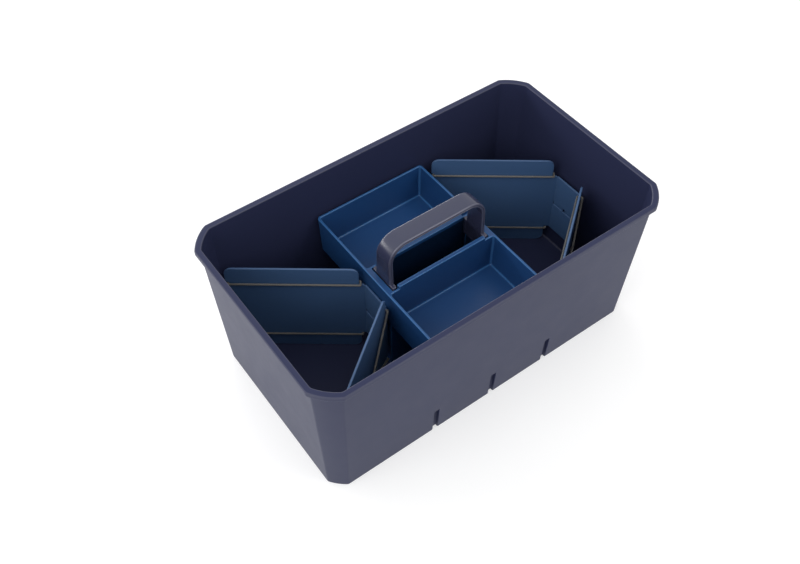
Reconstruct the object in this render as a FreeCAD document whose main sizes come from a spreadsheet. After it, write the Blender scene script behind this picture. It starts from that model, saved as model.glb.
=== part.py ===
"""Cleaning caddy: a tub with a lift-out tray, a retractable tray handle and two folding organisers.

Frame: millimetres, origin at the bottom centre of the tub, +X to the right along the long side,
+Y to the back, +Z up.
"""
import FreeCAD, Part
import os
import re
import Sketcher
from FreeCAD import Vector

# Driving sizes in millimetres and degrees. Each one is a cell of the sheet.
SIZES = {
    # tub
    "tub_length": 400.0,            # over the rim flange
    "tub_width": 231.5,
    "tub_height": 172.0,
    "tub_wall": 2.0,
    "tub_floor": 2.0,
    "tub_floor_radius": 5.0,        # round between the floor and the walls, inside
    "wall_draft": 2.5,              # lean of every side wall
    "flange_reach": 4.25,           # how far the rim flange stands out from the wall
    "flange_depth": 5.2,
    "flange_corner_cut": 23.0,      # the legs of the cut corners
    "top_corner_cut": 19.8,
    "foot_corner_cut": 14.2,
    "corner_bulge_radius": 56.0,
    "groove_spacing": 70.7,
    "groove_width": 6.2,
    "groove_height": 35.0,
    "groove_depth": 3.0,
    "groove_shell": 1.5,
    # tray
    "tray_length": 130.6,           # along X
    "tray_wall_gap": 3.2,           # tray rim to the tub's long wall
    "tray_rim_height": 121.2,
    "tray_depth": 45.2,
    "tray_floor": 2.2,
    "tray_wall": 2.6,
    "tray_draft": 1.3,              # how much narrower the tray is at its foot, each side
    "tray_corner_radius": 4.0,
    "compartment_corner_radius": 2.2,
    "centre_block_width": 39.2,
    "pedestal_inset": 2.6,          # pedestal faces behind the tray's side faces
    "well_floor": 2.0,
    # handle and its well
    "handle_inset": 7.4,            # legs behind the tray's side faces
    "handle_top": 170.6,
    "handle_thickness": 4.7,
    "grip_width": 20.0,
    "leg_width": 24.0,
    "handle_corner_radius": 21.0,
    "channel_wall": 2.3,            # centre block wall beside each shoe channel
    "slot_wall": 4.5,               # centre block wall on each side of the slot between them
    "slot_wall_rise": 3.6,          # how far the slot walls stand above the rim
    "shoe_depth": 21.0,
    "shoe_rise": 1.6,               # shoe tops above the rim
    "shoe_end_gap": 0.8,
    "shoe_side_gap": 0.6,
    # organisers
    "plate_thickness": 2.2,
    "panel_height": 78.0,
    "tab_height": 22.3,
    "tab_corner_radius": 8.0,
    "tab_inset": 5.0,
    "spine_width": 34.4,
    "organiser_gap": 0.3,           # left spine to tray, and right spine to short wall's foot line
    "wing_wall_gap": 1.5,           # wing tip to the long wall at floor level
    "tip_past_corner": 1.6,         # wing tip beyond the start of the corner cut
    "tip_rib_gap": 0.6,
    "hinge_half_gap": 0.15,
    "channel_height": 4.2,
    "channel_depth": 0.8,
    "channel_margin": 0.8,          # from each end to the plate's edge and to the window
    "window_width": 3.0,
    "window_height": 5.4,
    "cord_diameter": 2.2,
    "cord_face_gap": 0.6,           # cord surface to plate face
    "cord_seat_gap": 0.3,
    "cord_notch_depth": 3.4,
}

GROOVES_EACH_SIDE = 3

doc = FreeCAD.newDocument("cleaning_caddy")
sheet = doc.addObject("Spreadsheet::Sheet", "sizes")
for row, (alias, number) in enumerate(SIZES.items(), start=1):
    sheet.set(f"A{row}", alias)
    sheet.set(f"B{row}", str(number))
    sheet.setAlias(f"B{row}", alias)
doc.recompute()


# ---------------------------------------------------------------- helpers

def sized(expression):
    """The expression with each size name pointed at the sheet."""
    return re.sub(r"[a-z_]+", lambda word: "sizes." * (word[0] in SIZES) + word[0], expression)


def value(expression):
    """The number that an expression gives with the present sizes."""
    return float(sheet.evalExpression(sized(expression)))


def bind(feature, path, expression):
    feature.setExpression(path, sized(expression))


def new_body(name):
    body = doc.addObject("PartDesign::Body", name)
    body.Label = name
    return body


def origin_plane(body, role):
    return next(plane for plane in body.Origin.OriginFeatures if plane.Role == role)


def new_sketch(body, name, role="XY_Plane", offset="0"):
    """A sketch on one of the body's origin planes, moved along the plane's normal."""
    sketch = body.newObject("Sketcher::SketchObject", name)
    sketch.AttachmentSupport = [(origin_plane(body, role), "")]
    sketch.MapMode = "FlatFace"
    bind(sketch, "AttachmentOffset.Base.z", offset)
    return sketch


def hold_point(sketch, edge, end, x, y):
    """Hold one end of an edge at the place that two expressions give."""
    for kind, place in (("DistanceX", x), ("DistanceY", y)):
        index = sketch.addConstraint(Sketcher.Constraint(kind, -1, 1, edge, end, value(place)))
        bind(sketch, f"Constraints[{index}]", place)


def add_outline(sketch, points, radii=None, hollows=()):
    """A closed anticlockwise outline through the points. radii[i] makes the stretch from point i
    to the next an arc, which bulges out of the outline, or into it where i is in hollows."""
    radii = radii or {}
    places = [Vector(value(x), value(y), 0) for x, y in points]
    edges = []
    for i, start in enumerate(places):
        stop = places[(i + 1) % len(places)]
        if i in radii:
            radius = value(radii[i])
            half = (stop - start) * 0.5
            inward = Vector(-half.y, half.x, 0).normalize() * (-1 if i in hollows else 1)
            centre = start + half + inward * max(radius ** 2 - half.Length ** 2, 0) ** 0.5
            bulge = start + half - inward * (radius - (centre - start - half).Length)
            edges.append(sketch.addGeometry(Part.Arc(start, bulge, stop), False))
        else:
            edges.append(sketch.addGeometry(Part.LineSegment(start, stop), False))
    for i, edge in enumerate(edges):
        # an arc is kept anticlockwise, so one that bulges inwards starts at its far end
        first, last = (2, 1) if i in hollows else (1, 2)
        following = (i + 1) % len(edges)
        sketch.addConstraint(Sketcher.Constraint("Coincident", edge, last, edges[following],
                                                 2 if following in hollows else 1))
        hold_point(sketch, edge, first, *points[i])
        if i in radii:
            index = sketch.addConstraint(Sketcher.Constraint("Radius", edge, value(radii[i])))
            bind(sketch, f"Constraints[{index}]", radii[i])


def add_cut_corner_outline(sketch, half_x, half_y, cut, radius):
    """A rectangle about the origin whose corners are cut by slightly bulging arcs."""
    near_x, near_y = f"({half_x} - ({cut}))", f"({half_y} - ({cut}))"
    points = [
        (near_x, f"-({half_y})"), (half_x, f"-{near_y}"), (half_x, near_y), (near_x, half_y),
        (f"-{near_x}", half_y), (f"-({half_x})", near_y), (f"-({half_x})", f"-{near_y}"),
        (f"-{near_x}", f"-({half_y})"),
    ]
    add_outline(sketch, points, {0: radius, 2: radius, 4: radius, 6: radius})


def add_rectangle(sketch, low_x, low_y, high_x, high_y):
    add_outline(sketch, [(low_x, low_y), (high_x, low_y), (high_x, high_y), (low_x, high_y)])


def add_rounded_rectangle(sketch, low_x, low_y, high_x, high_y, radius):
    """A rectangle with quarter-round corners, each arc's legs as long as its radius."""
    points = [
        (f"{high_x} - {radius}", low_y), (high_x, f"{low_y} + {radius}"),
        (high_x, f"{high_y} - {radius}"), (f"{high_x} - {radius}", high_y),
        (f"{low_x} + {radius}", high_y), (low_x, f"{high_y} - {radius}"),
        (low_x, f"{low_y} + {radius}"), (f"{low_x} + {radius}", low_y),
    ]
    add_outline(sketch, points, {0: radius, 2: radius, 4: radius, 6: radius})


def pad(body, name, sketch, length, reverse=False, midplane=False):
    feature = body.newObject("PartDesign::Pad", name)
    feature.Profile = sketch
    bind(feature, "Length", length)
    feature.Reversed = reverse
    if midplane:
        feature.SideType = "Symmetric"
    return feature


def pocket(body, name, sketch, length, reverse=False, midplane=False):
    feature = body.newObject("PartDesign::Pocket", name)
    feature.Profile = sketch
    bind(feature, "Length", length)
    feature.Reversed = reverse
    if midplane:
        feature.SideType = "Symmetric"
    return feature


def loft(body, kind, name, lower, upper):
    feature = body.newObject(kind, name)
    feature.Profile = lower
    feature.Sections = [upper]
    feature.Ruled = True
    return feature


# ---------------------------------------------------------------- shared places

SLOPE = "tan(wall_draft)"
TOP_HALF_X = "(tub_length / 2 - flange_reach)"
TOP_HALF_Y = "(tub_width / 2 - flange_reach)"
FOOT_HALF_X = f"({TOP_HALF_X} - tub_height * {SLOPE})"
FOOT_HALF_Y = f"({TOP_HALF_Y} - tub_height * {SLOPE})"
CUT_LOSS = "(tub_wall * (2 - sqrt(2)))"    # keeps the wall even across a cut corner
FLOOR_HALF_X = f"({FOOT_HALF_X} + tub_floor * {SLOPE} - tub_wall)"
FLOOR_HALF_Y = f"({FOOT_HALF_Y} + tub_floor * {SLOPE} - tub_wall)"

RIB_HALF = "(groove_width / 2 + groove_shell)"

TRAY_HALF_X = "(tray_length / 2)"
TRAY_HALF_Y = f"({FOOT_HALF_Y} + tray_rim_height * {SLOPE} - tub_wall - tray_wall_gap)"
TRAY_FOOT = "(tray_rim_height - tray_depth)"
BLOCK_HALF_Y = "(centre_block_width / 2)"

HANDLE_HALF_X = f"({TRAY_HALF_X} - handle_inset)"
CHANNEL_HALF_Y = f"({BLOCK_HALF_Y} - channel_wall)"
SHOE_HALF_Y = f"({CHANNEL_HALF_Y} - shoe_side_gap)"
SHOE_TOP = "(tray_rim_height + shoe_rise)"
WELL_HALF_X = f"({HANDLE_HALF_X} + shoe_end_gap)"
WELL_DEPTH = "(tray_rim_height - tub_floor - well_floor)"

LEFT_SPINE_X = f"(-{TRAY_HALF_X} - organiser_gap - plate_thickness)"
RIGHT_SPINE_X = f"({FLOOR_HALF_X} - organiser_gap - plate_thickness)"
SPINE_HALF = "(spine_width / 2)"
# the two units are alike, so their wings stop at the nearer of the left unit's corner cut
# and the right unit's end rib
REACH_TO_CORNER = f"({FOOT_HALF_X} - foot_corner_cut + tip_past_corner + {LEFT_SPINE_X})"
REACH_TO_RIB = (f"({RIGHT_SPINE_X} - groove_spacing * {(GROOVES_EACH_SIDE - 1) / 2} - {RIB_HALF}"
                " - tip_rib_gap)")
WING_REACH_X = f"min({REACH_TO_CORNER}; {REACH_TO_RIB})"
WING_REACH_Y = f"({FLOOR_HALF_Y} - wing_wall_gap - plate_thickness - {SPINE_HALF})"
WING_LENGTH = f"(sqrt({WING_REACH_X} ^ 2 + {WING_REACH_Y} ^ 2))"
WING_ANGLE = f"(atan({WING_REACH_Y} / {WING_REACH_X}))"
PANEL_LOW = "tab_height"
PANEL_HIGH = "(tab_height + panel_height)"
UNIT_HEIGHT = "(tab_height * 2 + panel_height)"


# ---------------------------------------------------------------- tub

def make_tub():
    """Thin-walled tub with leaning walls, cut corners, a rim flange and grooves at its foot."""
    body = new_body("tub")
    foot = new_sketch(body, "tub_foot_outline")
    add_cut_corner_outline(foot, FOOT_HALF_X, FOOT_HALF_Y, "foot_corner_cut", "corner_bulge_radius")
    top = new_sketch(body, "tub_top_outline", offset="tub_height")
    add_cut_corner_outline(top, TOP_HALF_X, TOP_HALF_Y, "top_corner_cut", "corner_bulge_radius")
    loft(body, "PartDesign::AdditiveLoft", "tub_walls", foot, top)

    flange = new_sketch(body, "tub_flange_outline", offset="tub_height")
    add_cut_corner_outline(flange, "tub_length / 2", "tub_width / 2", "flange_corner_cut",
                           "corner_bulge_radius")
    pad(body, "tub_flange", flange, "flange_depth", reverse=True)

    floor = new_sketch(body, "tub_floor_outline", offset="tub_floor")
    add_cut_corner_outline(floor, FLOOR_HALF_X, FLOOR_HALF_Y, f"foot_corner_cut - {CUT_LOSS}",
                           "corner_bulge_radius")
    mouth = new_sketch(body, "tub_mouth_outline", offset="tub_height")
    add_cut_corner_outline(mouth, f"{TOP_HALF_X} - tub_wall", f"{TOP_HALF_Y} - tub_wall",
                           f"top_corner_cut - {CUT_LOSS}", "corner_bulge_radius")
    hollow = loft(body, "PartDesign::SubtractiveLoft", "tub_hollow", floor, mouth)
    doc.recompute()
    floor_edges = [
        f"Edge{number}" for number, edge in enumerate(hollow.Shape.Edges, start=1)
        if edge.BoundBox.ZLength < 0.01 and abs(edge.BoundBox.ZMin - value("tub_floor")) < 0.01
    ]
    rounding = body.newObject("PartDesign::Fillet", "tub_floor_round")
    rounding.Base = (hollow, floor_edges)
    bind(rounding, "Radius", "tub_floor_radius")

    groove_back = f"({FOOT_HALF_Y} - groove_depth)"
    ribs = new_sketch(body, "tub_ribs_outline")
    grooves = new_sketch(body, "tub_grooves_outline")
    for number in range(GROOVES_EACH_SIDE):
        middle = f"({number - (GROOVES_EACH_SIDE - 1) / 2} * groove_spacing)"
        for side, sign in ((1, ""), (-1, "-")):
            faces = [f"{sign}({groove_back} - groove_shell)", f"{sign}({FOOT_HALF_Y} - tub_wall / 2)"]
            low, high = faces if side > 0 else reversed(faces)
            add_rectangle(ribs, f"{middle} - {RIB_HALF}", low, f"{middle} + {RIB_HALF}", high)
            faces = [f"{sign}{groove_back}", f"{sign}({TOP_HALF_Y})"]
            low, high = faces if side > 0 else reversed(faces)
            add_rectangle(grooves, f"{middle} - groove_width / 2", low,
                          f"{middle} + groove_width / 2", high)
    pad(body, "tub_ribs", ribs, "groove_height + groove_shell")
    pocket(body, "tub_grooves", grooves, "groove_height", reverse=True)


# ---------------------------------------------------------------- tray and handle

def make_tray():
    """Two shallow compartments and, between them, a pedestal whose deep well takes the handle."""
    body = new_body("tray")
    radius = "tray_corner_radius"
    foot_x, foot_y = f"({TRAY_HALF_X} - tray_draft)", f"({TRAY_HALF_Y} - tray_draft)"
    foot = new_sketch(body, "tray_foot_outline", offset=TRAY_FOOT)
    add_rounded_rectangle(foot, f"-{foot_x}", f"-{foot_y}", foot_x, foot_y, radius)
    rim = new_sketch(body, "tray_rim_outline", offset="tray_rim_height")
    add_rounded_rectangle(rim, f"-{TRAY_HALF_X}", f"-{TRAY_HALF_Y}", TRAY_HALF_X, TRAY_HALF_Y, radius)
    loft(body, "PartDesign::AdditiveLoft", "tray_block", foot, rim)

    pedestal_x = f"({TRAY_HALF_X} - pedestal_inset)"
    pedestal = new_sketch(body, "tray_pedestal_outline", offset="tub_floor")
    add_rectangle(pedestal, f"-{pedestal_x}", f"-{BLOCK_HALF_Y}", pedestal_x, BLOCK_HALF_Y)
    pad(body, "tray_pedestal", pedestal, f"{TRAY_FOOT} - tub_floor + tray_floor")

    inner_x, inner_y = f"({TRAY_HALF_X} - tray_wall)", f"({TRAY_HALF_Y} - tray_wall)"
    compartments = new_sketch(body, "tray_compartments_outline", offset="tray_rim_height")
    radius = "compartment_corner_radius"
    add_rounded_rectangle(compartments, f"-{inner_x}", BLOCK_HALF_Y, inner_x, inner_y, radius)
    add_rounded_rectangle(compartments, f"-{inner_x}", f"-{inner_y}", inner_x, f"-{BLOCK_HALF_Y}", radius)
    pocket(body, "tray_compartments", compartments, "tray_depth - tray_floor")

    slot_y = f"({BLOCK_HALF_Y} - slot_wall)"
    channel_x = f"({HANDLE_HALF_X} - handle_thickness - shoe_end_gap)"
    slot_walls = new_sketch(body, "tray_slot_walls_outline", offset="tray_rim_height")
    add_rectangle(slot_walls, f"-{channel_x}", slot_y, channel_x, BLOCK_HALF_Y)
    add_rectangle(slot_walls, f"-{channel_x}", f"-{BLOCK_HALF_Y}", channel_x, f"-{slot_y}")
    pad(body, "tray_slot_walls", slot_walls, "slot_wall_rise")

    well = new_sketch(body, "tray_well_outline", offset="tray_rim_height")
    add_outline(well, [
        (f"-{WELL_HALF_X}", f"-{CHANNEL_HALF_Y}"), (f"-{channel_x}", f"-{CHANNEL_HALF_Y}"),
        (f"-{channel_x}", f"-{slot_y}"), (channel_x, f"-{slot_y}"),
        (channel_x, f"-{CHANNEL_HALF_Y}"), (WELL_HALF_X, f"-{CHANNEL_HALF_Y}"),
        (WELL_HALF_X, CHANNEL_HALF_Y), (channel_x, CHANNEL_HALF_Y),
        (channel_x, slot_y), (f"-{channel_x}", slot_y),
        (f"-{channel_x}", CHANNEL_HALF_Y), (f"-{WELL_HALF_X}", CHANNEL_HALF_Y),
    ])
    pocket(body, "tray_well", well, WELL_DEPTH)


def make_handle():
    """Inverted-U strap, narrower at its grip, with a guide shoe at the foot of each leg."""
    body = new_body("handle")
    shoe_foot = f"({SHOE_TOP} - shoe_depth)"
    corner = "handle_corner_radius"
    inner_x, inner_top = f"({HANDLE_HALF_X} - handle_thickness)", "(handle_top - handle_thickness)"
    inner_corner = f"({corner} - handle_thickness)"
    strap = new_sketch(body, "handle_strap_outline", role="XZ_Plane")
    add_outline(strap, [
        (f"-{HANDLE_HALF_X}", shoe_foot), (f"-{inner_x}", shoe_foot),
        (f"-{inner_x}", f"{inner_top} - {inner_corner}"), (f"-{inner_x} + {inner_corner}", inner_top),
        (f"{inner_x} - {inner_corner}", inner_top), (inner_x, f"{inner_top} - {inner_corner}"),
        (inner_x, shoe_foot), (HANDLE_HALF_X, shoe_foot),
        (HANDLE_HALF_X, f"handle_top - {corner}"), (f"{HANDLE_HALF_X} - {corner}", "handle_top"),
        (f"-{HANDLE_HALF_X} + {corner}", "handle_top"), (f"-{HANDLE_HALF_X}", f"handle_top - {corner}"),
    ], {2: inner_corner, 4: inner_corner, 8: corner, 10: corner}, hollows=(2, 4))
    pad(body, "handle_strap", strap, "leg_width", midplane=True)

    beyond, above = "leg_width", "(handle_top + handle_thickness)"
    sides = new_sketch(body, "handle_taper_outline", role="YZ_Plane")
    add_outline(sides, [("leg_width / 2", "tray_rim_height"), (beyond, "tray_rim_height"),
                        (beyond, above), ("grip_width / 2", above), ("grip_width / 2", "handle_top")])
    add_outline(sides, [("-leg_width / 2", "tray_rim_height"), ("-grip_width / 2", "handle_top"),
                        ("-grip_width / 2", above), (f"-{beyond}", above),
                        (f"-{beyond}", "tray_rim_height")])
    pocket(body, "handle_taper", sides, "tray_length", midplane=True)

    shoes = new_sketch(body, "handle_shoes_outline", offset=SHOE_TOP)
    add_rectangle(shoes, f"-{HANDLE_HALF_X}", f"-{SHOE_HALF_Y}", f"-{inner_x}", SHOE_HALF_Y)
    add_rectangle(shoes, inner_x, f"-{SHOE_HALF_Y}", HANDLE_HALF_X, SHOE_HALF_Y)
    pad(body, "handle_shoes", shoes, "shoe_depth", reverse=True)


# ---------------------------------------------------------------- organisers

def make_spine(unit, spine_x):
    """Narrow middle panel: a plate with a shallow channel at mid height and a small window."""
    body = new_body(f"{unit}_spine")
    half = f"({SPINE_HALF} - hinge_half_gap)"
    middle = f"({UNIT_HEIGHT} / 2)"
    plate = new_sketch(body, f"{unit}_spine_outline", role="YZ_Plane")
    add_rectangle(plate, f"-{half}", PANEL_LOW, half, PANEL_HIGH)
    pad(body, f"{unit}_spine_plate", plate, "plate_thickness")
    channel = new_sketch(body, f"{unit}_channel_outline", role="YZ_Plane")
    bottom, top = f"{middle} - channel_height / 2", f"{middle} + channel_height / 2"
    inner_end = "(window_width / 2 + channel_margin)"
    add_rectangle(channel, f"-{half} + channel_margin", bottom, f"-{inner_end}", top)
    add_rectangle(channel, inner_end, bottom, f"{half} - channel_margin", top)
    pocket(body, f"{unit}_channel", channel, "channel_depth", reverse=True)
    window = new_sketch(body, f"{unit}_window_outline", role="YZ_Plane")
    add_rectangle(window, "-window_width / 2", f"{middle} - window_height / 2",
                  "window_width / 2", f"{middle} + window_height / 2")
    pocket(body, f"{unit}_window", window, "plate_thickness", reverse=True)
    bind(body, "Placement.Base.x", spine_x)
    bind(body, "Placement.Base.z", "tub_floor")


def wing_placement(spine_x, side):
    """Local X runs along the wing from its hinge, local Y up, local Z out (rear) or in (front)."""
    return (f"placement(vector({spine_x}; {side} * {SPINE_HALF}; tub_floor); "
            f"rotation(180 deg - {side} * {WING_ANGLE}; 0 deg; 90 deg))")


def make_wing(unit, spine_x, end, side):
    """Long panel with a narrower rounded tab above and below, and notches for its cord."""
    body = new_body(f"{unit}_{end}_wing")
    radius = "tab_corner_radius"
    notch = "(cord_diameter + cord_seat_gap)"
    notch_x = f"({WING_LENGTH} - cord_notch_depth)"
    tab_x = "tab_inset"
    outline = new_sketch(body, f"{unit}_{end}_wing_outline")
    add_outline(outline, [
        (f"{tab_x} + {radius}", "0"), (f"{WING_LENGTH} - {radius}", "0"),
        (WING_LENGTH, radius), (WING_LENGTH, f"{PANEL_LOW} - {notch}"),
        (notch_x, f"{PANEL_LOW} - {notch}"), (notch_x, PANEL_LOW),
        (WING_LENGTH, PANEL_LOW), (WING_LENGTH, PANEL_HIGH),
        (notch_x, PANEL_HIGH), (notch_x, f"{PANEL_HIGH} + {notch}"),
        (WING_LENGTH, f"{PANEL_HIGH} + {notch}"), (WING_LENGTH, f"{UNIT_HEIGHT} - {radius}"),
        (f"{WING_LENGTH} - {radius}", UNIT_HEIGHT), (f"{tab_x} + {radius}", UNIT_HEIGHT),
        (tab_x, f"{UNIT_HEIGHT} - {radius}"), (tab_x, PANEL_HIGH),
        ("hinge_half_gap", PANEL_HIGH), ("hinge_half_gap", PANEL_LOW),
        (tab_x, PANEL_LOW), (tab_x, radius),
    ], {1: radius, 11: radius, 13: radius, 19: radius})
    pad(body, f"{unit}_{end}_wing_plate", outline, "plate_thickness", reverse=side < 0)
    bind(body, "Placement", wing_placement(spine_x, side))


def make_cord(unit, spine_x, end, side):
    """Elastic loop round a wing: two level runs on the inner face, two crossing runs outside."""
    cord_radius = value("cord_diameter / 2")
    inner = -(value("cord_face_gap") + cord_radius)
    outer = value("plate_thickness + cord_face_gap") + cord_radius
    near = value("tab_inset - cord_seat_gap") - cord_radius
    far = value(f"{WING_LENGTH} - cord_notch_depth + cord_seat_gap / 2") + cord_radius
    low = value(f"{PANEL_LOW} - cord_seat_gap / 2") - cord_radius
    high = value(f"{PANEL_HIGH} + cord_seat_gap / 2") + cord_radius
    over = outer + 2 * cord_radius + value("cord_seat_gap")
    middle = ((near + far) / 2, (low + high) / 2)
    route = [
        (near, high, inner), (far, high, inner), (far, high, outer),
        (near, low, outer), (near, low, inner), (far, low, inner),
        (far, low, outer), (middle[0], middle[1], over), (near, high, outer),
    ]
    points = [Vector(x, y, side * z) for x, y, z in route]
    seam = (points[0] + points[1]) / 2
    loop = Part.makePolygon([seam] + points[1:] + [points[0], seam])
    section = Part.Wire(Part.makeCircle(cord_radius, seam, points[1] - points[0]))
    solid, mitred_corners = True, 1
    cord = doc.addObject("Part::Feature", f"{unit}_{end}_cord")
    cord.Label = f"{unit}_{end}_cord"
    cord.Shape = loop.makePipeShell([section], solid, False, mitred_corners)
    bind(cord, "Placement", wing_placement(spine_x, side))


make_tub()
make_tray()
make_handle()
for unit, spine_x in (("left", LEFT_SPINE_X), ("right", RIGHT_SPINE_X)):
    make_spine(unit, spine_x)
    for end, side in (("rear", 1), ("front", -1)):
        make_wing(unit, spine_x, end, side)
        make_cord(unit, spine_x, end, side)

doc.recompute()

# ---------------------------------------------------------------- checks and export

for thing in doc.Objects:
    if "Invalid" in thing.State or "Error" in thing.State:
        raise RuntimeError(f"{thing.Name} failed: {thing.State} {thing.getStatusString()}")

os.makedirs("parts", exist_ok=True)
for thing in doc.Objects:
    if thing.TypeId in ("PartDesign::Body", "Part::Feature"):
        if thing.Shape.isNull() or not thing.Shape.isValid():
            raise RuntimeError(f"{thing.Label} has no valid shape")
        box = thing.Shape.BoundBox
        print(f"{thing.Label:18s} volume {thing.Shape.Volume / 1000:8.2f} cm3  solids "
              f"{len(thing.Shape.Solids)}  x {box.XMin:7.1f} {box.XMax:7.1f}  "
              f"y {box.YMin:7.1f} {box.YMax:7.1f}  z {box.ZMin:6.1f} {box.ZMax:6.1f}")
        thing.Shape.exportStep(f"parts/{thing.Label}.step")
print("wing length", round(value(WING_LENGTH), 2), "angle", round(value(WING_ANGLE), 2))
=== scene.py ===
"""Cleaning caddy: the looks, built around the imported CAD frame.

Metres, +X right along the long side, +Y to the back, +Z up. Lengths below are written in
millimetres and pass through MM where points are made.
"""
import math

import bmesh
import bpy
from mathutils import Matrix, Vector


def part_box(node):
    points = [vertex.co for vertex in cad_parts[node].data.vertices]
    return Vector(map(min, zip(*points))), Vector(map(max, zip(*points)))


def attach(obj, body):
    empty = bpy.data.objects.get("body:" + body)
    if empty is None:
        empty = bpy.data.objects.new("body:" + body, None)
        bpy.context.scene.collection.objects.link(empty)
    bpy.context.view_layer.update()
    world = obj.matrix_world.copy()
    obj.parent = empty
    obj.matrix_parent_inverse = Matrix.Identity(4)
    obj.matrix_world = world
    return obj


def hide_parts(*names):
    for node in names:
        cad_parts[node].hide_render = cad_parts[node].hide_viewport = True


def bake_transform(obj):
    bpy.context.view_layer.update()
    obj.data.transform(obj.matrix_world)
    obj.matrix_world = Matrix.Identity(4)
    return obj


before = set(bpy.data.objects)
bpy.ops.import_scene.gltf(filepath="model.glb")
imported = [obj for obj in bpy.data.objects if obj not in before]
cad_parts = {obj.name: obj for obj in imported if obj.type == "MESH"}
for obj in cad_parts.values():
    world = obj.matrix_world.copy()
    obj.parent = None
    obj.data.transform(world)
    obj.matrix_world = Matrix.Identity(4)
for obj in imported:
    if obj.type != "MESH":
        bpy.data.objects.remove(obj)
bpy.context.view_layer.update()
MM = 0.001
# face marks: the rounded edges, which get a smoother roughness and a painted highlight, and the inside of
# a deep well, which gets painted shade
POLISH_AND_PAINTED_LIGHT_MARK, PAINTED_WELL_SHADE_MARK = "edge_polish_and_painted_light", "well_painted_shade"

bpy.context.scene.view_settings.view_transform = "Standard"


def box_mm(node):
    """The lowest and highest corners of a CAD node, in millimetres."""
    low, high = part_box(node)
    return low / MM, high / MM


# ---------------------------------------------------------------- materials

GRAIN_SIZE, GRAIN_DEPTH = 0.45, 0.05    # of the plastics' surface, in millimetres
CLOUD_CONTRAST = 0.06                   # how far the colour drifts to either side
GLOSS_SPREAD = 0.05                     # and the roughness
EDGE_POLISH = 0.12                      # how much smoother the rounded edges are
WELL_PAINTED_SHADE = 0.22                       # what is left of the colour inside a well, as painted shade
YARN_SLANT = 0.62                       # radians from the cord's line


def shader_nodes(name):
    """A new node material, with its tree and its Principled shader."""
    material = bpy.data.materials.new(name)
    material.use_nodes = True
    return material, material.node_tree, material.node_tree.nodes["Principled BSDF"]


def noise(tree, coordinates, scale, detail=2.0, roughness=0.5):
    texture = tree.nodes.new("ShaderNodeTexNoise")
    texture.inputs["Scale"].default_value = scale
    texture.inputs["Detail"].default_value = detail
    texture.inputs["Roughness"].default_value = roughness
    tree.links.new(coordinates, texture.inputs["Vector"])
    return texture.outputs["Fac"]


def remap(tree, source, low, high):
    """The source's 0..1 spread over low..high."""
    node = tree.nodes.new("ShaderNodeMapRange")
    node.inputs["To Min"].default_value = low
    node.inputs["To Max"].default_value = high
    tree.links.new(source, node.inputs["Value"])
    return node.outputs["Result"]


def marked(tree, mark):
    """How far a face carries one of the marks that Skin puts on the meshes."""
    node = tree.nodes.new("ShaderNodeAttribute")
    node.attribute_name = mark
    return node.outputs["Fac"]


def blend_colours(tree, factor, first, second):
    """A mix of two colours, each given as three numbers or as another node's output."""
    node = tree.nodes.new("ShaderNodeMix")
    node.data_type = "RGBA"
    for colour, name in ((first, "A_Color"), (second, "B_Color")):
        socket = next(entry for entry in node.inputs if entry.identifier == name)
        if isinstance(colour, bpy.types.NodeSocket):
            tree.links.new(colour, socket)
        else:
            socket.default_value = (*colour, 1)
    factor_socket = next(entry for entry in node.inputs if entry.identifier == "Factor_Float")
    tree.links.new(factor, factor_socket)
    return next(entry for entry in node.outputs if entry.identifier == "Result_Color")


def moulded_plastic(name, colour, edge, roughness, gloss, grain=0.05):
    """Satin moulded plastic: spark-eroded grain, faint flow clouds and uneven gloss. The
    rounded edges, marked on the meshes, are smoother and take the lighter edge colour, which
    is a painted highlight, and the marked inside of a deep well is darker, which is painted
    shade."""
    material, tree, shader = shader_nodes(name)
    place = tree.nodes.new("ShaderNodeTexCoord").outputs["Object"]
    polish_and_painted_light_mark, painted_well_shade = marked(tree, POLISH_AND_PAINTED_LIGHT_MARK), marked(tree, PAINTED_WELL_SHADE_MARK)
    clouds = noise(tree, place, scale=14, detail=3)
    darker = [channel * (1 - CLOUD_CONTRAST) for channel in colour]
    lighter = [channel * (1 + CLOUD_CONTRAST) for channel in colour]
    body_colour = blend_colours(tree, clouds, darker, lighter)
    # painted shade: the marked inside of a well takes a darker copy of the colour
    painted_well_shade_colour = [channel * WELL_PAINTED_SHADE for channel in colour]
    with_painted_shade = blend_colours(tree, painted_well_shade, body_colour, painted_well_shade_colour)
    # painted highlight: the marked rounded edges take the edge colour
    tree.links.new(blend_colours(tree, polish_and_painted_light_mark, with_painted_shade, edge), shader.inputs["Base Color"])
    handled = noise(tree, place, scale=45, detail=4, roughness=0.6)
    flats = remap(tree, handled, roughness - GLOSS_SPREAD, roughness + GLOSS_SPREAD)
    polish = tree.nodes.new("ShaderNodeMath")
    polish.operation = "MULTIPLY_ADD"
    polish.inputs[1].default_value = -EDGE_POLISH
    tree.links.new(polish_and_painted_light_mark, polish.inputs[0])
    tree.links.new(flats, polish.inputs[2])
    tree.links.new(polish.outputs["Value"], shader.inputs["Roughness"])
    bump = tree.nodes.new("ShaderNodeBump")
    bump.inputs["Strength"].default_value = grain
    bump.inputs["Distance"].default_value = GRAIN_DEPTH * MM
    tree.links.new(noise(tree, place, scale=1 / (GRAIN_SIZE * MM), detail=1), bump.inputs["Height"])
    tree.links.new(bump.outputs["Normal"], shader.inputs["Normal"])
    shader.inputs["IOR"].default_value = 1.49
    shader.inputs["Specular IOR Level"].default_value = gloss
    return material


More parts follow.
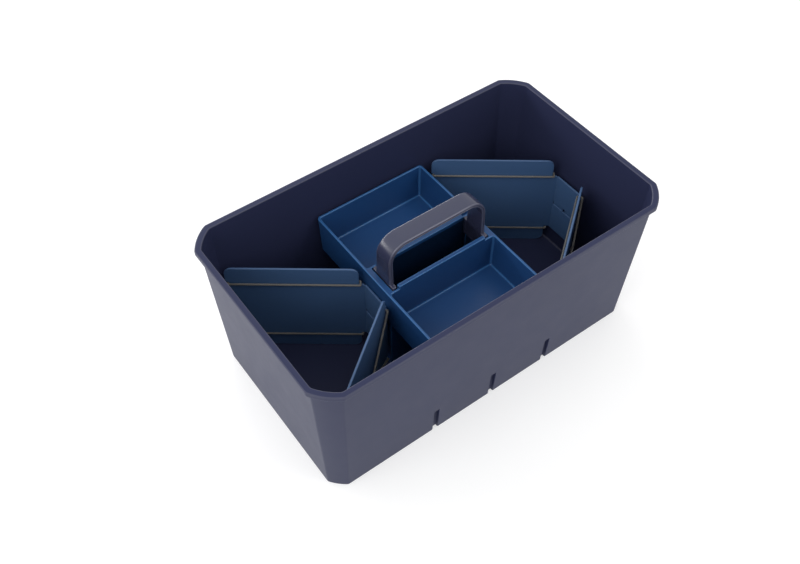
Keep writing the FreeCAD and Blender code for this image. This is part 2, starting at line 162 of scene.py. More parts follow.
def braided_elastic(name, yarn, gap):
    """Round elastic cord: fine crossing yarns of the sheath, laid out by the cord's own UVs."""
    material, tree, shader = shader_nodes(name)
    place = tree.nodes.new("ShaderNodeUVMap").outputs["UV"]
    bands = []
    for angle in (YARN_SLANT, -YARN_SLANT):
        turn = tree.nodes.new("ShaderNodeMapping")
        turn.inputs["Rotation"].default_value[2] = angle
        tree.links.new(place, turn.inputs["Vector"])
        wave = tree.nodes.new("ShaderNodeTexWave")
        wave.inputs["Scale"].default_value = 1.4
        tree.links.new(turn.outputs["Vector"], wave.inputs["Vector"])
        bands.append(wave.outputs["Fac"])
    weave = tree.nodes.new("ShaderNodeMath")
    weave.operation = "MAXIMUM"
    tree.links.new(bands[0], weave.inputs[0])
    tree.links.new(bands[1], weave.inputs[1])
    height = weave.outputs["Value"]
    tree.links.new(blend_colours(tree, height, gap, yarn), shader.inputs["Base Color"])
    bump = tree.nodes.new("ShaderNodeBump")
    bump.inputs["Strength"].default_value = 0.5
    bump.inputs["Distance"].default_value = 0.1 * MM
    tree.links.new(height, bump.inputs["Height"])
    tree.links.new(bump.outputs["Normal"], shader.inputs["Normal"])
    shader.inputs["Roughness"].default_value = 0.55
    shader.inputs["Sheen Weight"].default_value = 0.25
    return material


# Each edge colour is painted light on the marked rounded edges: a lighter highlight on the tub, tray and
# handle, and a slightly darker tone on the organisers.
TUB_PLASTIC = moulded_plastic(
    "tub_polypropylene", (0.026, 0.031, 0.074), edge=(0.060, 0.064, 0.105),
    roughness=0.42, gloss=0.21)
TRAY_PLASTIC = moulded_plastic(
    "tray_polypropylene", (0.015, 0.064, 0.192), edge=(0.036, 0.130, 0.320),
    roughness=0.34, gloss=0.42)
HANDLE_PLASTIC = moulded_plastic(
    "handle_plastic", (0.031, 0.035, 0.072), edge=(0.080, 0.084, 0.130),
    roughness=0.24, gloss=0.74, grain=0.03)
ORGANISER_PLASTIC = moulded_plastic(
    "organiser_polypropylene", (0.063, 0.132, 0.272), edge=(0.064, 0.122, 0.245),
    roughness=0.46, gloss=0.36)
ELASTIC = braided_elastic(
    "cord_elastic", yarn=(0.172, 0.163, 0.148), gap=(0.068, 0.065, 0.060))


# ---------------------------------------------------------------- mesh tools

ROUND_WIDTH, FINE_ROUND_WIDTH = 1.2, 0.75    # the widest strips marked as rounded edges
ROUND_TURN = 8.0                             # and the least they turn, in degrees
LEVEL_RISE = 0.7                             # the steepest rise of a strip that counts as level
CORNER_FULLNESS = 0.5858 / 0.5               # of a softened corner; 1 would be a parabola


class Skin:
    """A mesh made from rings of points in millimetres, the bands between them and flat ends."""

    def __init__(self):
        self.bm = bmesh.new()
        # the faces inside a deep well, which the material paints darker as shade
        self.well = self.bm.faces.layers.float.new(PAINTED_WELL_SHADE_MARK)

    def ring(self, points):
        return [self.bm.verts.new(Vector(point) * MM) for point in points]

    def band(self, first, second, well=0.0):
        count = len(first)
        for i in range(count):
            j = (i + 1) % count
            self.bm.faces.new((first[i], first[j], second[j], second[i]))[self.well] = well

    def bands(self, rings):
        for first, second in zip(rings, rings[1:]):
            self.band(first, second)

    def flat(self, *loops):
        """Fills the flat area between the first loop and the others, its holes."""
        edges = []
        for loop in loops:
            for first, second in zip(loop, loop[1:] + loop[:1]):
                edge = self.bm.edges.get((first, second)) or self.bm.edges.new((first, second))
                edges.append(edge)
        bmesh.ops.triangle_fill(self.bm, use_beauty=True, use_dissolve=False, edges=edges)

    def mark_rounded_edges(self, upright, widest):
        """Marks the narrow strips that turn from one flat into the next, for their smoother roughness and
        painted highlight.
        """
        layer = self.bm.faces.layers.float.new(POLISH_AND_PAINTED_LIGHT_MARK)
        for face in self.bm.faces:
            longest = max(face.edges, key=lambda edge: edge.calc_length())
            length = longest.calc_length()
            if len(face.verts) != 4 or face.calc_area() / length > widest * MM:
                continue
            way = longest.verts[1].co - longest.verts[0].co
            turning = longest.calc_face_angle(0) > math.radians(ROUND_TURN)
            if turning and (upright or abs(way.z) < LEVEL_RISE * length):
                face[layer] = 1.0

    def piece(self, name, material, body, stands_for=(), crease=50, marks="all"):
        """The finished object: smooth over its rounded edges, flat on its flats. The marks,
        which carry the painted edge highlight, are for all its rounded edges, only the fine or
        the level ones, or none."""
        bmesh.ops.recalc_face_normals(self.bm, faces=self.bm.faces)
        if marks != "none":
            widest = FINE_ROUND_WIDTH if marks == "fine" else ROUND_WIDTH
            self.mark_rounded_edges(upright=marks != "level", widest=widest)
        mesh = bpy.data.meshes.new(name)
        self.bm.to_mesh(mesh)
        self.bm.free()
        for polygon in mesh.polygons:
            polygon.use_smooth = True
        mesh.set_sharp_from_angle(angle=math.radians(crease))
        mesh.materials.append(material)
        thing = bpy.data.objects.new(name, mesh)
        bpy.context.scene.collection.objects.link(thing)
        normals = thing.modifiers.new("flat_faces", "WEIGHTED_NORMAL")
        normals.keep_sharp = True
        if body:
            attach(thing, body)
        if stands_for:
            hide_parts(*stands_for)
        return thing


def arc(centre_u, centre_v, radius, start, stop, steps):
    """Points on a circle from one angle to another, in degrees."""
    angles = [math.radians(start + (stop - start) * i / steps) for i in range(steps + 1)]
    return [(centre_u + radius * math.cos(a), centre_v + radius * math.sin(a)) for a in angles]


def rounded_rectangle(low_x, low_y, high_x, high_y, radius, steps=6):
    return (arc(high_x - radius, low_y + radius, radius, -90, 0, steps)
            + arc(high_x - radius, high_y - radius, radius, 0, 90, steps)
            + arc(low_x + radius, high_y - radius, radius, 90, 180, steps)
            + arc(low_x + radius, low_y + radius, radius, 180, 270, steps))


def offset_outline(points, distance):
    """An anticlockwise outline moved outwards by the distance, its corners kept sharp."""
    moved = []
    for before, here, after in zip(points[-1:] + points[:-1], points, points[1:] + points[:1]):
        into = (Vector(here) - Vector(before)).normalized()
        out = (Vector(after) - Vector(here)).normalized()
        normal = Vector((into.y + out.y, -into.x - out.x))
        spread = 1 + into.dot(out)
        moved.append(tuple(Vector(here) + normal * (distance / spread)))
    return moved


def soften_corners(points, radius, steps=3):
    """Each corner of the outline replaced by a curve that starts the radius before it."""
    softened = []
    for i, corner in enumerate(points):
        here = Vector(corner)
        start = here + (Vector(points[i - 1]) - here).normalized() * radius
        stop = here + (Vector(points[(i + 1) % len(points)]) - here).normalized() * radius
        for step in range(steps + 1):
            t = step / steps
            curve = start * (1 - t) ** 2 + here * 2 * t * (1 - t) + stop * t ** 2
            chord = start * (1 - t) + stop * t
            softened.append(tuple(chord + (curve - chord) * CORNER_FULLNESS))
    return softened


def quarter_round(radius, steps):
    """Points over a rounded edge, as distances from the flat it ends on and the one it starts on."""
    angles = [math.radians(90 * step / steps) for step in range(steps + 1)]
    return [(radius * (1 - math.sin(a)), radius * (1 - math.cos(a))) for a in angles]


def edge_down(radius, top, steps=4):
    """Offsets and heights of a rounded edge from a flat top over to a wall below it."""
    return [(inset, top - down) for inset, down in quarter_round(radius, steps)]


def raised(points, height):
    return [(x, y, height) for x, y in points]


# ---------------------------------------------------------------- tub

_, tub_high = box_mm("tub")
RIM_TOP = tub_high.z
WALL_LEAN = math.tan(math.radians(2.5))
FLANGE_REACH, FLANGE_DEPTH = 4.25, 5.2
WALL, FLOOR_TOP = 2.0, 2.0
FOOT_ROUND, RIM_LIP, MOUTH_LIP, FLOOR_ROUND = 0.9, 1.1, 0.9, 1.8
WALL_LEVELS = (70.0, 105.0, 140.0)
FOOT_CUT, TOP_CUT, FLANGE_CUT = 14.2, 19.8, 23.0
BULGE_RADIUS = 56.0
WALL_RISE = RIM_TOP * WALL_LEAN
FOOT_HALF = Vector((tub_high.x - FLANGE_REACH - WALL_RISE, tub_high.y - FLANGE_REACH - WALL_RISE))
GROOVES = (-70.7, 0.0, 70.7)
GROOVE_HALF, GROOVE_TOP, GROOVE_DEPTH, GROOVE_SHELL = 3.1, 35.0, 3.0, 1.5
RIB_HALF = GROOVE_HALF + GROOVE_SHELL
CUT_PER_OFFSET = 2 - math.sqrt(2)
CORNER_EASE, CORNER_STEPS = 1.3, 9      # the small rounds at a cut corner's ends, and its points
EASE_SHARES = (0, 0.33, 0.67, 1)

# half of a groove or rib from its side to its middle: distance from its middle line and
# share of its depth
OUTER_STATIONS = [(GROOVE_HALF + 0.7, 0.0), (GROOVE_HALF + 0.15, 0.04), (GROOVE_HALF - 0.05, 0.3),
                  (GROOVE_HALF - 0.15, 0.85), (GROOVE_HALF - 0.6, 1.0)]
INNER_STATIONS = [(RIB_HALF + 0.7, 0.0), (RIB_HALF + 0.1, 0.1), (RIB_HALF - 0.1, 0.45),
                  (RIB_HALF - 0.3, 0.9), (RIB_HALF - 0.8, 1.0)]
# their upper ends: height past the end and share of the depth
GROOVE_END = [(-0.8, 1.0), (-0.3, 0.88), (-0.05, 0.35), (0.2, 0.04), (0.8, 0.0)]
RIB_END = [(0.8, 0.0), (0.3, 0.1), (0.05, 0.45), (-0.2, 0.9), (-0.8, 1.0)]
# the hollow round under the flange: distance below its underside and out from the wall
FLANGE_HOLLOW = [(1.3, 0.0), (0.5, 0.12), (0.12, 0.5), (0.0, 1.2)]
# its lower edge: distance in from its face and up from its underside
FLANGE_LOW_EDGE = [(0.7, 0.0), (0.22, 0.12), (0.0, 0.6)]


def dented_side(half_y, stations, depth):
    """Points along the back wall from right to left, pressed in at each groove or rib."""
    points = []
    for middle in reversed(GROOVES):
        for offset, share in stations:
            points.append((middle + offset, half_y - depth * share))
        for offset, share in reversed(stations):
            points.append((middle - offset, half_y - depth * share))
    return points


def cut_corner(half_x, half_y, cut):
    """The right back corner from the side wall round to the back wall: a bulging cut."""
    start, stop = Vector((half_x, half_y - cut)), Vector((half_x - cut, half_y))
    chord = stop - start
    lift = BULGE_RADIUS - math.sqrt(BULGE_RADIUS ** 2 - (chord.length / 2) ** 2)
    outward = Vector((chord.y, -chord.x)).normalized()
    ease = CORNER_EASE / chord.length
    inner = []
    for step in range(CORNER_STEPS + 1):
        t = ease + (1 - 2 * ease) * step / CORNER_STEPS
        bulge = 4 * t * (1 - t)
        inner.append(start + chord * t + outward * lift * bulge)
    first = [start - Vector((0, CORNER_EASE)), start, inner[0]]
    last = [inner[-1], stop, stop - Vector((CORNER_EASE, 0))]

    def eased(trio):
        a, b, c = trio
        return [a * (1 - t) ** 2 + b * 2 * t * (1 - t) + c * t ** 2 for t in EASE_SHARES]

    return [tuple(p) for p in eased(first) + inner[1:-1] + eased(last)]


def tub_ring(offset, cut, z, stations, depth=0.0):
    """One closed outline of the tub, the offset measured out from its foot outline."""
    half_x, half_y = FOOT_HALF.x + offset, FOOT_HALF.y + offset
    right_corner = cut_corner(half_x, half_y, cut)
    left_corner = [(-x, y) for x, y in reversed(right_corner)]
    upper = right_corner + dented_side(half_y, stations, depth) + left_corner
    lower = [(-x, -y) for x, y in upper]
    return raised(upper + lower, z)


def wall_cut(z):
    """The legs of the outer wall's cut corners at a height."""
    return FOOT_CUT + (TOP_CUT - FOOT_CUT) * z / RIM_TOP


def outside_ring(z, inset=0.0, share=0.0):
    """A ring on the outer wall, pressed into the grooves by the given share of their depth."""
    offset = z * WALL_LEAN - inset
    depth = (offset + inset + GROOVE_DEPTH) * share
    return tub_ring(offset, wall_cut(z) - inset * CUT_PER_OFFSET, z, OUTER_STATIONS, depth)


def inside_ring(z, inset=0.0, share=0.0):
    """A ring on the inner wall, standing out over the ribs behind the grooves."""
    offset = z * WALL_LEAN - WALL
    depth = (offset + GROOVE_DEPTH + GROOVE_SHELL) * share
    cut = wall_cut(z) - (WALL + inset) * CUT_PER_OFFSET
    return tub_ring(offset - inset, cut, z, INNER_STATIONS, depth)


def flange_ring(beyond, z):
    """A ring on the rim flange, the given distance inside its outer face."""
    offset = WALL_RISE + FLANGE_REACH - beyond
    return tub_ring(offset, FLANGE_CUT - beyond * CUT_PER_OFFSET, z, OUTER_STATIONS)


def make_tub():
    skin = Skin()
    under = RIM_TOP - FLANGE_DEPTH
    rib_top = GROOVE_TOP + GROOVE_SHELL
    outlines = [outside_ring(up, inset, 1.0) for inset, up in quarter_round(FOOT_ROUND, 3)]
    outlines += [outside_ring(GROOVE_TOP + up, 0.0, share) for up, share in GROOVE_END]
    outlines += [outside_ring(z) for z in WALL_LEVELS]
    outlines += [outside_ring(under - down, -out) for down, out in FLANGE_HOLLOW]
    outlines += [flange_ring(beyond, under + up) for beyond, up in FLANGE_LOW_EDGE]
    outlines += [flange_ring(beyond, RIM_TOP - down) for down, beyond in quarter_round(RIM_LIP, 4)]
    outlines += [inside_ring(RIM_TOP - down, -out) for down, out in reversed(quarter_round(MOUTH_LIP, 4))]
    outlines += [inside_ring(z) for z in reversed(WALL_LEVELS)]
    outlines += [inside_ring(rib_top + up, 0.0, share) for up, share in RIB_END]
    outlines += [inside_ring(FLOOR_TOP + up, inset, 1.0) for up, inset in quarter_round(FLOOR_ROUND, 6)]
    rings = [skin.ring(outline) for outline in outlines]
    skin.bands(rings)
    skin.flat(rings[0])
    skin.flat(rings[-1])
    skin.piece("tub_shell", TUB_PLASTIC, "tub", ["tub"], marks="level")


# ---------------------------------------------------------------- tray

tray_low, tray_high = box_mm("tray")
SLOT_WALL, SLOT_WALL_RISE = 4.5, 3.6
TRAY_RIM = tray_high.z - SLOT_WALL_RISE
TRAY_DEPTH, TRAY_FLOOR, TRAY_WALL, TRAY_DRAFT = 45.2, 2.2, 2.6, 1.3
TRAY_FOOT = TRAY_RIM - TRAY_DEPTH
TRAY_CORNER, TRAY_LIP, TRAY_FOOT_ROUND = 4.0, 1.0, 0.8
TRAY_LEVELS, COMPARTMENT_LEVELS = (105.0, 90.0), (105.0, 92.0)
COMPARTMENT_CORNER, COMPARTMENT_LIP, COMPARTMENT_FLOOR_ROUND = 2.2, 0.9, 1.6
BLOCK_HALF, CHANNEL_WALL = 19.6, 2.3
HANDLE_INSET, STRAP = 7.4, 4.7
SHOE_END_GAP = 0.8
SLOT_HALF = BLOCK_HALF - SLOT_WALL
CHANNEL_HALF = BLOCK_HALF - CHANNEL_WALL
WELL_END = tray_high.x - HANDLE_INSET + SHOE_END_GAP
CHANNEL_START = tray_high.x - HANDLE_INSET - STRAP - SHOE_END_GAP
WELL_BOTTOM, WELL_CORNER, WELL_LIP = 2.0, 0.9, 0.8
WELL_FLOOR = tray_low.z + WELL_BOTTOM
SLOT_WALL_CORNER, SLOT_WALL_LIP = 1.3, 0.9
SLOT_WALL_SUNK = 1.4                    # how far its foot goes down into the rim
SLOT_WALL_SETBACK = 0.02                # keeps its faces off those of the block below
PEDESTAL_INSET, PEDESTAL_CORNER, PEDESTAL_LEVEL = 2.6, 1.5, 40.0
PEDESTAL_ROUND, PEDESTAL_ROUND_MIDDLE = 0.8, 0.24


def tray_outside(skin):
    """The leaning outer walls. Gives their rings at the rim and at the foot."""
    def outline(inset, z):
        lean = TRAY_DRAFT * (TRAY_RIM - z) / TRAY_DEPTH
        x, y = tray_high.x - lean - inset, tray_high.y - lean - inset
        return skin.ring(raised(rounded_rectangle(-x, -y, x, y, TRAY_CORNER - inset), z))

    rings = [outline(inset, z) for inset, z in edge_down(TRAY_LIP, TRAY_RIM)]
    rings += [outline(0, z) for z in TRAY_LEVELS]
    rings += [outline(inset, TRAY_FOOT + up) for up, inset in quarter_round(TRAY_FOOT_ROUND, 3)]
    skin.bands(rings)
    return rings[0], rings[-1]


def tray_compartment(skin, side):
    """One compartment's walls and floor. Gives the ring of its mouth."""
    def outline(grow, z):
        near, far = BLOCK_HALF - grow, tray_high.y - TRAY_WALL + grow
        low, high = (near, far) if side > 0 else (-far, -near)
        x = tray_high.x - TRAY_WALL + grow
        return skin.ring(raised(rounded_rectangle(-x, low, x, high, COMPARTMENT_CORNER + grow), z))

    floor = TRAY_FOOT + TRAY_FLOOR
    rings = [outline(grow, z) for grow, z in edge_down(COMPARTMENT_LIP, TRAY_RIM)]
    rings += [outline(0, z) for z in COMPARTMENT_LEVELS]
    rings += [outline(-inset, floor + up) for up, inset in quarter_round(COMPARTMENT_FLOOR_ROUND, 4)]
    skin.bands(rings)
    skin.flat(rings[-1])
    return rings[0]


def handle_well(skin):
    """A deep slot between two wider end channels. Gives the ring of its mouth."""
    front = [(-WELL_END, -CHANNEL_HALF), (-CHANNEL_START, -CHANNEL_HALF), (-CHANNEL_START, -SLOT_HALF),
             (CHANNEL_START, -SLOT_HALF), (CHANNEL_START, -CHANNEL_HALF), (WELL_END, -CHANNEL_HALF)]
    outline = front + [(-x, -y) for x, y in front]
    rings = [skin.ring(raised(soften_corners(offset_outline(outline, grow), WELL_CORNER), z))
             for grow, z in edge_down(WELL_LIP, TRAY_RIM)]
    skin.bands(rings)
    bottom = skin.ring(raised(soften_corners(outline, WELL_CORNER), WELL_FLOOR))
    # the walls down into the well carry the painted-shade mark
    skin.band(rings[-1], bottom, well=1.0)
    skin.flat(bottom)
    return rings[0]


def slot_wall(skin, side):
    """A raised wall along one side of the slot, its foot sunk into the rim."""
    x = CHANNEL_START
    low, high = sorted((side * SLOT_HALF, side * BLOCK_HALF))
    outline = [(-x, low), (x, low), (x, high), (-x, high)]
    levels = edge_down(SLOT_WALL_LIP, TRAY_RIM + SLOT_WALL_RISE) + [(0, TRAY_RIM - SLOT_WALL_SUNK)]
    rings = []
    for inset, z in levels:
        smaller = offset_outline(outline, -inset - SLOT_WALL_SETBACK)
        rings.append(skin.ring(raised(soften_corners(smaller, SLOT_WALL_CORNER - inset), z)))
    skin.bands(rings)
    skin.flat(rings[0])
    skin.flat(rings[-1])


def pedestal(skin, tray_foot):
    """The foot under the middle block, joined to the ring at the tray's foot."""
    x, y = tray_high.x - PEDESTAL_INSET, BLOCK_HALF
    outline = [(-x, -y), (x, -y), (x, y), (-x, y)]
    rings = []
    for inset, z in ((0, TRAY_FOOT), (0, PEDESTAL_LEVEL), (0, tray_low.z + PEDESTAL_ROUND),
                     (PEDESTAL_ROUND_MIDDLE, tray_low.z + PEDESTAL_ROUND_MIDDLE),
                     (PEDESTAL_ROUND, tray_low.z)):
        smaller = offset_outline(outline, -inset)
        rings.append(skin.ring(raised(soften_corners(smaller, PEDESTAL_CORNER), z)))
    skin.bands(rings)
    skin.flat(tray_foot, rings[0])
    skin.flat(rings[-1])


def make_tray():
    skin = Skin()
    rim, foot = tray_outside(skin)
    mouths = [tray_compartment(skin, side) for side in (1, -1)]
    mouths.append(handle_well(skin))
    skin.flat(rim, *mouths)
    for side in (1, -1):
        slot_wall(skin, side)
    pedestal(skin, foot)
    skin.piece("tray_body", TRAY_PLASTIC, "tray", ["tray"])


# ---------------------------------------------------------------- handle

handle_low, handle_high = box_mm("handle")
GRIP_WIDTH, LEG_WIDTH = 20.0, 24.0
HANDLE_CORNER, BEND_STEPS = 21.0, 16
SHOE_DEPTH, SHOE_ROUND, SHOE_CORNER = 21.0, 0.9, 1.5
SHOE_TOP = handle_low.z + SHOE_DEPTH
STRAP_START = 4.0                       # the strap's end inside its shoe, above the shoe's foot
LEG_LEVELS = (handle_low.z + STRAP_START, SHOE_TOP, SHOE_TOP + 2.0, 127.0, 134.0, 141.0)
GRIP_PLACES = (26.0, 17.0, 8.5, 0.0)


def strap_section(width):
    """Across the strap: a crowned outer face, a fine line along each side, a flat inner face."""
    half, thick = width / 2, STRAP / 2
    one_side = [
        (0.0, thick), (half * 0.4, thick - 0.03), (half - 3.0, thick - 0.12),
        (half - 1.5, thick - 0.22), (half - 0.8, thick - 0.45), (half - 0.32, thick - 0.9),
        (half - 0.08, thick - 1.45), (half, thick - 1.75), (half, 0.5), (half - 0.15, 0.2),
        (half - 0.6, 0.05), (half - 0.6, -0.65), (half - 0.15, -0.8), (half, -1.05),
        (half, -thick + 1.0), (half - 0.15, -thick + 0.45), (half - 0.45, -thick + 0.14),
        (half - 1.0, -thick), (half * 0.5, -thick),
    ]
    return one_side + [(0.0, -thick)] + [(-u, v) for u, v in reversed(one_side[1:])]


def strap_line():
    """Points along the strap's middle from foot to foot, each with its outward direction."""
    x, top = handle_high.x - STRAP / 2, handle_high.z - STRAP / 2
    bend = HANDLE_CORNER - STRAP / 2
    stations = [(Vector((x, z)), Vector((1, 0))) for z in LEG_LEVELS]
    for step in range(BEND_STEPS + 1):
        a = math.radians(90 * step / BEND_STEPS)
        outward = Vector((math.cos(a), math.sin(a)))
        stations.append((Vector((x - bend, top - bend)) + outward * bend, outward))
    stations += [(Vector((along, top)), Vector((0, 1))) for along in GRIP_PLACES]
    return stations + [(Vector((-p.x, p.y)), Vector((-n.x, n.y))) for p, n in reversed(stations[:-1])]


def handle_shoe(skin, side):
    """The guide shoe at the foot of one leg."""
    x_low, x_high = sorted((side * (handle_high.x - STRAP), side * handle_high.x))
    y = handle_high.y

    def outline(inset, z):
        corners = rounded_rectangle(x_low + inset, -y + inset, x_high - inset, y - inset,
                                    SHOE_CORNER - inset, 4)
        return skin.ring(raised(corners, z))

    rings = [outline(inset, z) for inset, z in edge_down(SHOE_ROUND, SHOE_TOP, 3)]
    rings += [outline(inset, handle_low.z + up) for up, inset in quarter_round(SHOE_ROUND, 3)]
    skin.bands(rings)
    skin.flat(rings[0])
    skin.flat(rings[-1])


def make_handle():
    skin = Skin()
    rings = []
    for point, normal in strap_line():
        share = min(max((point.y - TRAY_RIM) / (handle_high.z - TRAY_RIM), 0), 1)
        width = LEG_WIDTH + (GRIP_WIDTH - LEG_WIDTH) * share
        rings.append(skin.ring([(point.x + normal.x * v, u, point.y + normal.y * v)
                                for u, v in strap_section(width)]))
    skin.bands(rings)
    skin.flat(rings[0])
    skin.flat(rings[-1])
    for side in (1, -1):
        handle_shoe(skin, side)
    skin.piece("handle_strap", HANDLE_PLASTIC, "handle", ["handle"], marks="fine")


# ---------------------------------------------------------------- organisers

PLATE = 2.2
PLATE_EDGE = 0.55
TAB_HEIGHT, TAB_CORNER, TAB_INSET = 22.3, 8.0, 5.0
NOTCH_HEIGHT, NOTCH_DEPTH, NOTCH_CORNER = 2.5, 3.4, 0.9
SHOULDER_CORNER, HINGE_CORNER = 0.8, 0.5
HINGE_HALF_GAP = 0.15
ANGLE_ROUNDS = 4
WEB_INNER, WEB_OUTER = 0.03, 0.7        # depths of the film hinge's two faces
WEB_MARGIN = 0.4                        # its ends to the panel's
WEB_STEPS, WEB_LEVELS = 8, 12
CHANNEL_HEIGHT, CHANNEL_DEPTH, CHANNEL_CORNER = 4.2, 0.8, 0.6
PLATE_MARGIN, WINDOW_MARGIN = 0.8, 0.9  # a channel's ends to the plate's edge and the window
WINDOW_WIDTH, WINDOW_HEIGHT, WINDOW_CORNER = 3.0, 5.4, 0.7
# from the inner face down: how far the opening is grown, and the depth
CHANNEL_PROFILE = [(0.7, 0.0), (0.34, 0.09), (0.09, 0.34), (0.0, CHANNEL_DEPTH - 0.08),
                   (-0.2, CHANNEL_DEPTH)]
WINDOW_PROFILE = [(0.3, 0.0), (0.09, 0.09), (0.0, 0.3), (0.0, PLATE - 0.3), (0.09, PLATE - 0.09),
                  (0.3, PLATE)]


class Unit:
    """Where one organiser stands, read from its CAD boxes."""

    def __init__(self, name):
        self.name = name
        low, high = box_mm(f"{name}_spine")
        wing_low, wing_high = box_mm(f"{name}_rear_wing")
        self.face_x = low.x
        self.hinge_y = high.y + HINGE_HALF_GAP
        self.floor = wing_low.z
        self.panel_low, self.panel_high = low.z, high.z
        self.height = wing_high.z - wing_low.z
        reach_x = self.face_x - wing_low.x
        reach_y = wing_high.y - self.hinge_y
        # the outer face is a plate's thickness further out, at an angle that depends on the answer
        self.angle = math.atan2(reach_y, reach_x)
        for _ in range(ANGLE_ROUNDS):
            self.angle = math.atan2(reach_y - PLATE * math.cos(self.angle), reach_x)
        self.length = reach_x / math.cos(self.angle)

    def wing_place(self, side):
        """Turns length along the wing, height over the floor and depth outwards into a point."""
        along = Vector((-math.cos(self.angle), side * math.sin(self.angle), 0))
        outwards = Vector((math.sin(self.angle), side * math.cos(self.angle), 0))
        corner = Vector((self.face_x, side * self.hinge_y, self.floor))

        def place(length, height, depth):
            return corner + along * length + Vector((0, 0, height)) + outwards * depth

        return place


def slab(skin, outline, place):
    """The rounded edge of a plate, as the outlines of its open inner and outer faces. place
    turns outline points and a depth into points."""
    profile = [(-inset, depth) for inset, depth in quarter_round(PLATE_EDGE, 3)]
    profile += [(offset, PLATE - depth) for offset, depth in reversed(profile)]
    rings = [skin.ring([place(u, v, depth) for u, v in offset_outline(outline, offset)])
             for offset, depth in profile]
    skin.bands(rings)
    return rings[0], rings[-1]


def wing_outline(unit):
    """A long panel with rounded tabs below and above, and a cord notch beside each tab's tip."""
    length, height = unit.length, unit.height
    low, high = TAB_HEIGHT, height - TAB_HEIGHT
    notch_x, notch_low, notch_high = length - NOTCH_DEPTH, low - NOTCH_HEIGHT, high + NOTCH_HEIGHT
    corners = [
        ((TAB_INSET, 0), TAB_CORNER), ((length, 0), TAB_CORNER),
        ((length, notch_low), NOTCH_CORNER), ((notch_x, notch_low), NOTCH_CORNER),
        ((notch_x, low), NOTCH_CORNER), ((length, low), NOTCH_CORNER),
        ((length, high), NOTCH_CORNER), ((notch_x, high), NOTCH_CORNER),
        ((notch_x, notch_high), NOTCH_CORNER), ((length, notch_high), NOTCH_CORNER),
        ((length, height), TAB_CORNER), ((TAB_INSET, height), TAB_CORNER),
        ((TAB_INSET, high), SHOULDER_CORNER), ((HINGE_HALF_GAP, high), HINGE_CORNER),
        ((HINGE_HALF_GAP, low), HINGE_CORNER), ((TAB_INSET, low), SHOULDER_CORNER),
    ]
    outline = []
    points = [Vector(corner) for corner, _ in corners]
    for i, (_, radius) in enumerate(corners):
        steps = 10 if radius == TAB_CORNER else 3
        here = points[i]
        start = here + (points[i - 1] - here).normalized() * radius
        stop = here + (points[(i + 1) % len(points)] - here).normalized() * radius
        centre = start + stop - here
        for step in range(steps + 1):
            a = math.pi / 2 * step / steps
            outline.append(tuple(centre + (start - centre) * math.cos(a) + (stop - centre) * math.sin(a)))
    return outline


def make_wing(unit, end, side):
    skin = Skin()
    inner, outer = slab(skin, wing_outline(unit), unit.wing_place(side))
    skin.flat(inner)
    skin.flat(outer)
    name = f"{unit.name}_{end}_wing"
    skin.piece(f"{name}_panel", ORGANISER_PLASTIC, name, [name])


def make_spine(unit):
    """The middle panel, with a shallow channel across it and a small window half way."""
    skin = Skin()
    half = unit.hinge_y - HINGE_HALF_GAP
    low, high = unit.panel_low - unit.floor, unit.panel_high - unit.floor
    middle = (low + high) / 2

    def place(across, height, depth):
        return Vector((unit.face_x + depth, across, unit.floor + height))

    def opening(start, stop, height, corner, profile):
        rings = []
        for grow, depth in profile:
            outline = rounded_rectangle(start - grow, middle - height / 2 - grow, stop + grow,
                                        middle + height / 2 + grow, corner + grow, 4)
            rings.append(skin.ring([place(u, v, depth) for u, v in outline]))
        skin.bands(rings)
        return rings

    inner, outer = slab(skin, rounded_rectangle(-half, low, half, high, HINGE_CORNER, 3), place)
    plate_end, window_end = half - PLATE_MARGIN, WINDOW_WIDTH / 2 + WINDOW_MARGIN
    mouths = []
    for start, stop in ((-plate_end, -window_end), (window_end, plate_end)):
        channel = opening(start, stop, CHANNEL_HEIGHT, CHANNEL_CORNER, CHANNEL_PROFILE)
        skin.flat(channel[-1])
        mouths.append(channel[0])
    window = opening(-WINDOW_WIDTH / 2, WINDOW_WIDTH / 2, WINDOW_HEIGHT, WINDOW_CORNER, WINDOW_PROFILE)
    skin.flat(inner, *mouths, window[0])
    skin.flat(outer, window[-1])
    name = f"{unit.name}_spine"
    skin.piece(f"{name}_panel", ORGANISER_PLASTIC, f"{unit.name}_organiser", [name])


def make_hinge(unit, end, side):
    """The thin web that joins a wing to the spine, flush with their inner faces."""
    skin = Skin()
    place = unit.wing_place(side)
    reach = PLATE_EDGE + HINGE_HALF_GAP
    corner = place(0, 0, 0)
    spine_end = corner - Vector((0, side * reach, 0))
    wing_end = place(reach, 0, 0)
    out_spine, out_wing = Vector((1, 0, 0)), place(0, 0, 1) - corner
    inner, outer = [], []
    for step in range(WEB_STEPS + 1):
        t = step / WEB_STEPS
        point = spine_end * (1 - t) ** 2 + corner * 2 * t * (1 - t) + wing_end * t ** 2
        outwards = (out_spine * (1 - t) + out_wing * t).normalized()
        inner.append(point + outwards * WEB_INNER)
        outer.append(point + outwards * WEB_OUTER)
    section = inner + outer[::-1]
    low, high = TAB_HEIGHT + WEB_MARGIN, unit.height - TAB_HEIGHT - WEB_MARGIN
    rings = []
    for step in range(WEB_LEVELS + 1):
        height = low + (high - low) * step / WEB_LEVELS
        rings.append(skin.ring([point + Vector((0, 0, height)) for point in section]))
    skin.bands(rings)
    skin.bm.faces.new(rings[0])
    skin.bm.faces.new(rings[-1])
    name = f"{unit.name}_{end}_film_hinge"
    web_piece = skin.piece(name, ORGANISER_PLASTIC, None)
    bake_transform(web_piece)


# ---------------------------------------------------------------- elastic cords

